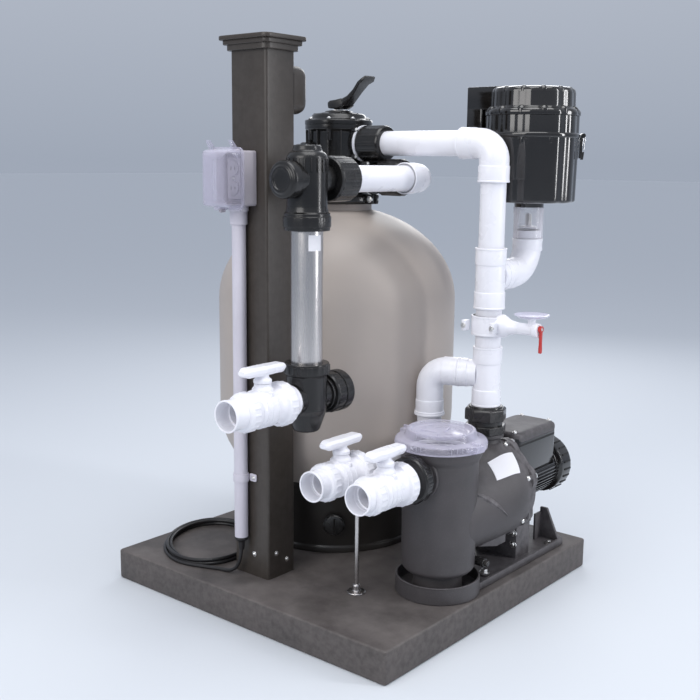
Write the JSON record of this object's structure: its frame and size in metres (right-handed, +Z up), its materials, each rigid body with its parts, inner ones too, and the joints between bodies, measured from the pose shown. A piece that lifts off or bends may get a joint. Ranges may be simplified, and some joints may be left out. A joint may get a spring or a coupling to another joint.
{
  "type": "sand filter tank",
  "caption": "Skid-mounted sand filter tank with selector valve, pump, blower, ultraviolet chamber, control post and plumbing on a square pad.",
  "frame": {"origin": "centre of the pad's flat underside", "axes": "+Z up; +X along the front edge, from the control post side to the pump side; +Y to the back, towards the motor"},
  "size_m": [0.942, 1.011, 1.3303],
  "materials": {
    "pad_plastic": "moulded, slightly rough",
    "post_plastic": "satin extrusion",
    "tank_resin": "satin resin shell",
    "skirt_plastic": "satin moulded",
    "black_fitting": "glossy moulded",
    "white_pvc": "smooth extruded",
    "pump_plastic": "fine-textured moulded",
    "stainless": "polished tube",
    "grey_box": "satin moulded",
    "clear_plastic": "clear moulded",
    "red_grip": "dipped grip",
    "cord_rubber": "flexible jacket"
  },
  "bodies": {
    "skid": {"base_pad": "pad_plastic", "control_post": "post_plastic", "post_cap": "post_plastic", "ballast_box": "post_plastic", "outlet_box": "grey_box", "conduit": "grey_box", "check_valve_body": "clear_plastic", "uv_lamp": "clear_plastic", "tank_shell": "tank_resin", "tank_skirt": "skirt_plastic", "drain_plug": "black_fitting", "neck_clamp": "black_fitting", "multiport_body": "black_fitting", "multiport_lid": "black_fitting", "pump_port_union": "black_fitting", "return_port_union": "black_fitting", "discharge_union": "black_fitting", "uv_upper_head": "black_fitting", "uv_lower_head": "black_fitting", "uv_return_union": "black_fitting", "suction_union": "black_fitting", "motor_housing": "black_fitting", "blower_housing": "black_fitting", "blower_cap": "black_fitting", "valve_1_socket": "white_pvc", "valve_1_body": "white_pvc", "valve_2_socket": "white_pvc", "valve_2_body": "white_pvc", "valve_3_socket": "white_pvc", "valve_3_body": "white_pvc", "underdrain": "white_pvc", "top_pipe": "white_pvc", "riser_elbow": "white_pvc", "riser_pipe": "white_pvc", "blower_tee": "white_pvc", "bypass_tee": "white_pvc", "bypass_run": "white_pvc", "return_run": "white_pvc", "sample_cock": "white_pvc", "blower_elbow": "white_pvc", "support_rod": "stainless", "uv_barrel": "stainless", "pump_casing": "pump_plastic", "seal_plate": "pump_plastic", "pump_base": "pump_plastic", "cord_lead": "cord_rubber", "cord_coil": "cord_rubber", "cord_plug": "cord_rubber"},
    "selector": {"multiport_rotor": "black_fitting"},
    "selector_lever": {"multiport_lever": "black_fitting"},
    "valve_1_grip": {"valve_1_handle": "white_pvc"},
    "valve_2_grip": {"valve_2_handle": "white_pvc"},
    "valve_3_grip": {"valve_3_handle": "white_pvc"},
    "cover_leaf": {"outlet_cover": "clear_plastic"},
    "lid": {"pump_lid": "clear_plastic"},
    "basket": {"strainer_basket": "white_pvc"},
    "rotor": {"pump_rotor": "stainless"},
    "latch": {"blower_latch": "black_fitting"},
    "check_disc": {"check_valve_disc": "stainless"},
    "sample_lever": {"red_lever": "red_grip"}
  },
  "joints": [
    {"name": "selector_turn", "type": "hinge", "parent": "skid", "child": "selector", "pos_m": [-0.147, 0.085, 1.197], "axis": [0, 0, 1], "continuous": true},
    {"name": "selector_press", "type": "hinge", "parent": "selector", "child": "selector_lever", "pos_m": [-0.147, 0.085, 1.197], "axis": [0, 1, 0], "range_deg": [0, 12], "stiffness_Nm_per_rad": 2, "springref_deg": -11.46},
    {"name": "valve_1_turn", "type": "hinge", "parent": "skid", "child": "valve_1_grip", "pos_m": [0.125, -0.47208, 0.545], "axis": [0, 0, 1], "range_deg": [0, 90]},
    {"name": "valve_2_turn", "type": "hinge", "parent": "skid", "child": "valve_2_grip", "pos_m": [0.196, -0.29864, 0.368], "axis": [0, 0, 1], "range_deg": [0, 90]},
    {"name": "valve_3_turn", "type": "hinge", "parent": "skid", "child": "valve_3_grip", "pos_m": [0.326, -0.30604, 0.368], "axis": [0, 0, 1], "range_deg": [0, 90]},
    {"name": "cover_open", "type": "hinge", "parent": "skid", "child": "cover_leaf", "pos_m": [-0.076, -0.3722, 1.09], "axis": [-1, 0, 0], "range_deg": [0, 105]},
    {"name": "lid_lift", "type": "slide", "parent": "skid", "child": "lid", "axis": [0, 0, 1], "range_m": [0, 0.28]},
    {"name": "basket_lift", "type": "slide", "parent": "skid", "child": "basket", "axis": [0, 0, 1], "range_m": [0, 0.252]},
    {"name": "rotor_spin", "type": "hinge", "parent": "skid", "child": "rotor", "pos_m": [0.326, 0.1, 0.28], "axis": [0, 1, 0], "continuous": true},
    {"name": "latch_swing", "type": "hinge", "parent": "skid", "child": "latch", "pos_m": [0.42024, 0.32826, 1.131], "axis": [0.6389, -0.7693, 0], "range_deg": [0, 100]},
    {"name": "disc_lift", "type": "slide", "parent": "skid", "child": "check_disc", "axis": [0, 0, 1], "range_m": [0, 0.012]},
    {"name": "sample_turn", "type": "hinge", "parent": "skid", "child": "sample_lever", "pos_m": [0.4653, 0.085, 0.685], "axis": [1, 0, 0], "range_deg": [0, 90]}
  ],
  "couplings": [
    {"joint": "basket_lift", "follows": "lid_lift", "ratio": 0.9}
  ]
}
